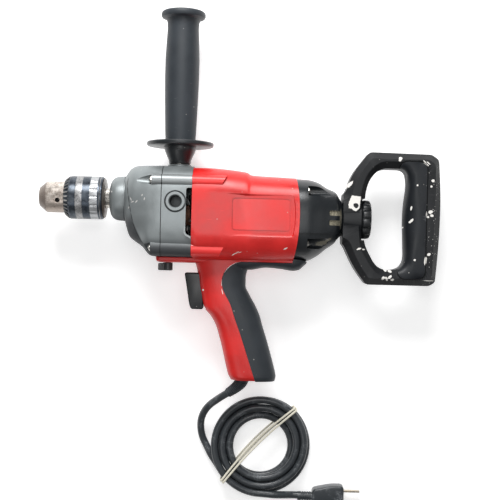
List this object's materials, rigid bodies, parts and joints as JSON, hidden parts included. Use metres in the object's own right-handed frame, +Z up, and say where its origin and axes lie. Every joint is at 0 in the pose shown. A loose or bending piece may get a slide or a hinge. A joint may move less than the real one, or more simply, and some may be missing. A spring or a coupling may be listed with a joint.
{
  "type": "spade handle drill",
  "caption": "Corded pistol-grip drill with a keyed chuck, an upright side handle, a rear D handle and a coiled mains lead tied with string, lying on its side.",
  "frame": {"origin": "bottom centre of the drill's box without its cord; the drill lies on its right side", "axes": "+X from the chuck to the rear D handle, +Y towards the side handle and away from the pistol grip, +Z up from the table to the drill's left side"},
  "size_m": [0.4168, 0.5292, 0.086],
  "materials": {
    "cast_grey": "painted cast aluminium, worn semi-gloss",
    "red_shell": "glass-filled nylon, moulded satin",
    "black_rubber": "soft overmould, matt",
    "black_plastic": "moulded, fine texture",
    "bright_steel": "turned and ground",
    "dark_steel": "blackened, worn bright at edges",
    "screw_steel": "zinc plated",
    "copper": "enamelled wire and bars",
    "lamination": "stacked steel sheet",
    "carbon": "pressed carbon",
    "brass": "drawn",
    "cord_jacket": "rubber jacket, dusty",
    "string": "cotton string"
  },
  "bodies": {
    "drill_body": {"gear_case": "cast_grey", "gear_housing": "cast_grey", "housing_left": "red_shell", "housing_right": "red_shell", "grip_cover_left": "black_rubber", "grip_cover_right": "black_rubber", "strain_relief": "black_rubber", "end_cap": "black_plastic", "switch_module": "black_plastic", "gear_plate": "bright_steel", "spindle_bearing": "bright_steel", "front_bearing": "bright_steel", "rear_bearing": "bright_steel", "rear_handle_stud": "bright_steel", "gear_case_screw_1": "screw_steel", "gear_case_screw_2": "screw_steel", "gear_case_screw_3": "screw_steel", "gear_case_screw_4": "screw_steel", "end_cap_screw_1": "screw_steel", "end_cap_screw_2": "screw_steel", "end_cap_screw_3": "screw_steel", "end_cap_screw_4": "screw_steel", "housing_screw_1": "screw_steel", "housing_screw_2": "screw_steel", "housing_screw_3": "screw_steel", "field_coil_left": "copper", "field_coil_right": "copper", "stator_core": "lamination", "brush_left": "carbon", "brush_right": "carbon", "brush_holder_left": "brass", "brush_holder_right": "brass", "plug_blade_1": "brass", "plug_blade_2": "brass", "cord_coil": "cord_jacket", "cord_lead": "cord_jacket", "cord_tail": "cord_jacket", "plug_body": "cord_jacket", "cord_tie": "string"},
    "armature": {"armature_shaft": "bright_steel", "armature_core": "lamination", "commutator": "copper", "fan": "black_plastic"},
    "first_gear": {"first_shaft": "bright_steel"},
    "second_gear": {"second_shaft": "bright_steel"},
    "spindle_and_chuck": {"spindle": "bright_steel", "chuck_body": "bright_steel"},
    "sleeve": {"chuck_sleeve": "dark_steel", "chuck_nut": "bright_steel"},
    "jaw_a": {"jaw_1": "dark_steel"},
    "jaw_b": {"jaw_2": "dark_steel"},
    "jaw_c": {"jaw_3": "dark_steel"},
    "trigger_button": {"trigger": "black_plastic"},
    "reversing_lever": {"direction_lever": "black_plastic"},
    "d_handle": {"rear_handle": "black_plastic", "rear_handle_grip": "black_rubber"},
    "clamp_knob": {"rear_handle_knob": "black_plastic"},
    "handle_screw": {"side_handle_stud": "bright_steel"},
    "side_grip": {"side_handle": "black_plastic", "side_handle_grip": "black_rubber"}
  },
  "joints": [
    {"name": "armature_spin", "type": "hinge", "parent": "drill_body", "child": "armature", "pos_m": [-0.04754, -0.02265, 0.043], "axis": [1, 0, 0], "continuous": true},
    {"name": "first_shaft_spin", "type": "hinge", "parent": "drill_body", "child": "first_gear", "pos_m": [-0.04754, -0.03683, 0.02855], "axis": [1, 0, 0], "continuous": true},
    {"name": "second_shaft_spin", "type": "hinge", "parent": "drill_body", "child": "second_gear", "pos_m": [-0.04754, -0.04208, 0.05171], "axis": [1, 0, 0], "continuous": true},
    {"name": "spindle_spin", "type": "hinge", "parent": "drill_body", "child": "spindle_and_chuck", "pos_m": [-0.04754, -0.00715, 0.043], "axis": [1, 0, 0], "continuous": true},
    {"name": "chuck_sleeve_turn", "type": "hinge", "parent": "spindle_and_chuck", "child": "sleeve", "pos_m": [-0.16754, -0.00715, 0.043], "axis": [1, 0, 0], "range_deg": [0, 4140]},
    {"name": "direction_lever_turn", "type": "hinge", "parent": "drill_body", "child": "reversing_lever", "pos_m": [-0.07315, -0.07315, 0.043], "axis": [0, 1, 0], "range_deg": [-20, 20]},
    {"name": "trigger_travel", "type": "slide", "parent": "drill_body", "child": "trigger_button", "axis": [1, 0, 0], "range_m": [0, 0.0065], "stiffness_N_per_m": 700, "springref_m": -0.004},
    {"name": "rear_handle_swivel", "type": "hinge", "parent": "drill_body", "child": "d_handle", "pos_m": [0.11746, -0.02265, 0.043], "axis": [1, 0, 0], "range_deg": [-180, 180]},
    {"name": "rear_knob_turn", "type": "hinge", "parent": "drill_body", "child": "clamp_knob", "pos_m": [0.13245, -0.02265, 0.043], "axis": [1, 0, 0], "range_deg": [0, 360]},
    {"name": "side_handle_travel", "type": "slide", "parent": "drill_body", "child": "handle_screw", "axis": [0, 1, 0], "range_m": [0, 0.016]},
    {"name": "side_handle_turn", "type": "hinge", "parent": "handle_screw", "child": "side_grip", "pos_m": [-0.06345, 0.05285, 0.043], "axis": [0, 1, 0], "range_deg": [0, 2880]},
    {"name": "jaw_a_travel", "type": "slide", "parent": "spindle_and_chuck", "child": "jaw_a", "axis": [-0.9703, -0.174, -0.1681], "range_m": [0, 0.023]},
    {"name": "jaw_b_travel", "type": "slide", "parent": "spindle_and_chuck", "child": "jaw_b", "axis": [-0.9703, 0.2326, -0.0667], "range_m": [0, 0.023]},
    {"name": "jaw_c_travel", "type": "slide", "parent": "spindle_and_chuck", "child": "jaw_c", "axis": [-0.9703, -0.0585, 0.2347], "range_m": [0, 0.023]}
  ],
  "couplings": [
    {"joint": "first_shaft_spin", "follows": "armature_spin", "ratio": -0.25},
    {"joint": "second_shaft_spin", "follows": "armature_spin", "ratio": 0.089286},
    {"joint": "spindle_spin", "follows": "armature_spin", "ratio": -0.026544},
    {"joint": "jaw_a_travel", "follows": "chuck_sleeve_turn", "m_per_rad": 0.0003183},
    {"joint": "jaw_b_travel", "follows": "chuck_sleeve_turn", "m_per_rad": 0.0003183},
    {"joint": "jaw_c_travel", "follows": "chuck_sleeve_turn", "m_per_rad": 0.0003183},
    {"joint": "side_handle_travel", "follows": "side_handle_turn", "m_per_rad": 0.0003183}
  ]
}
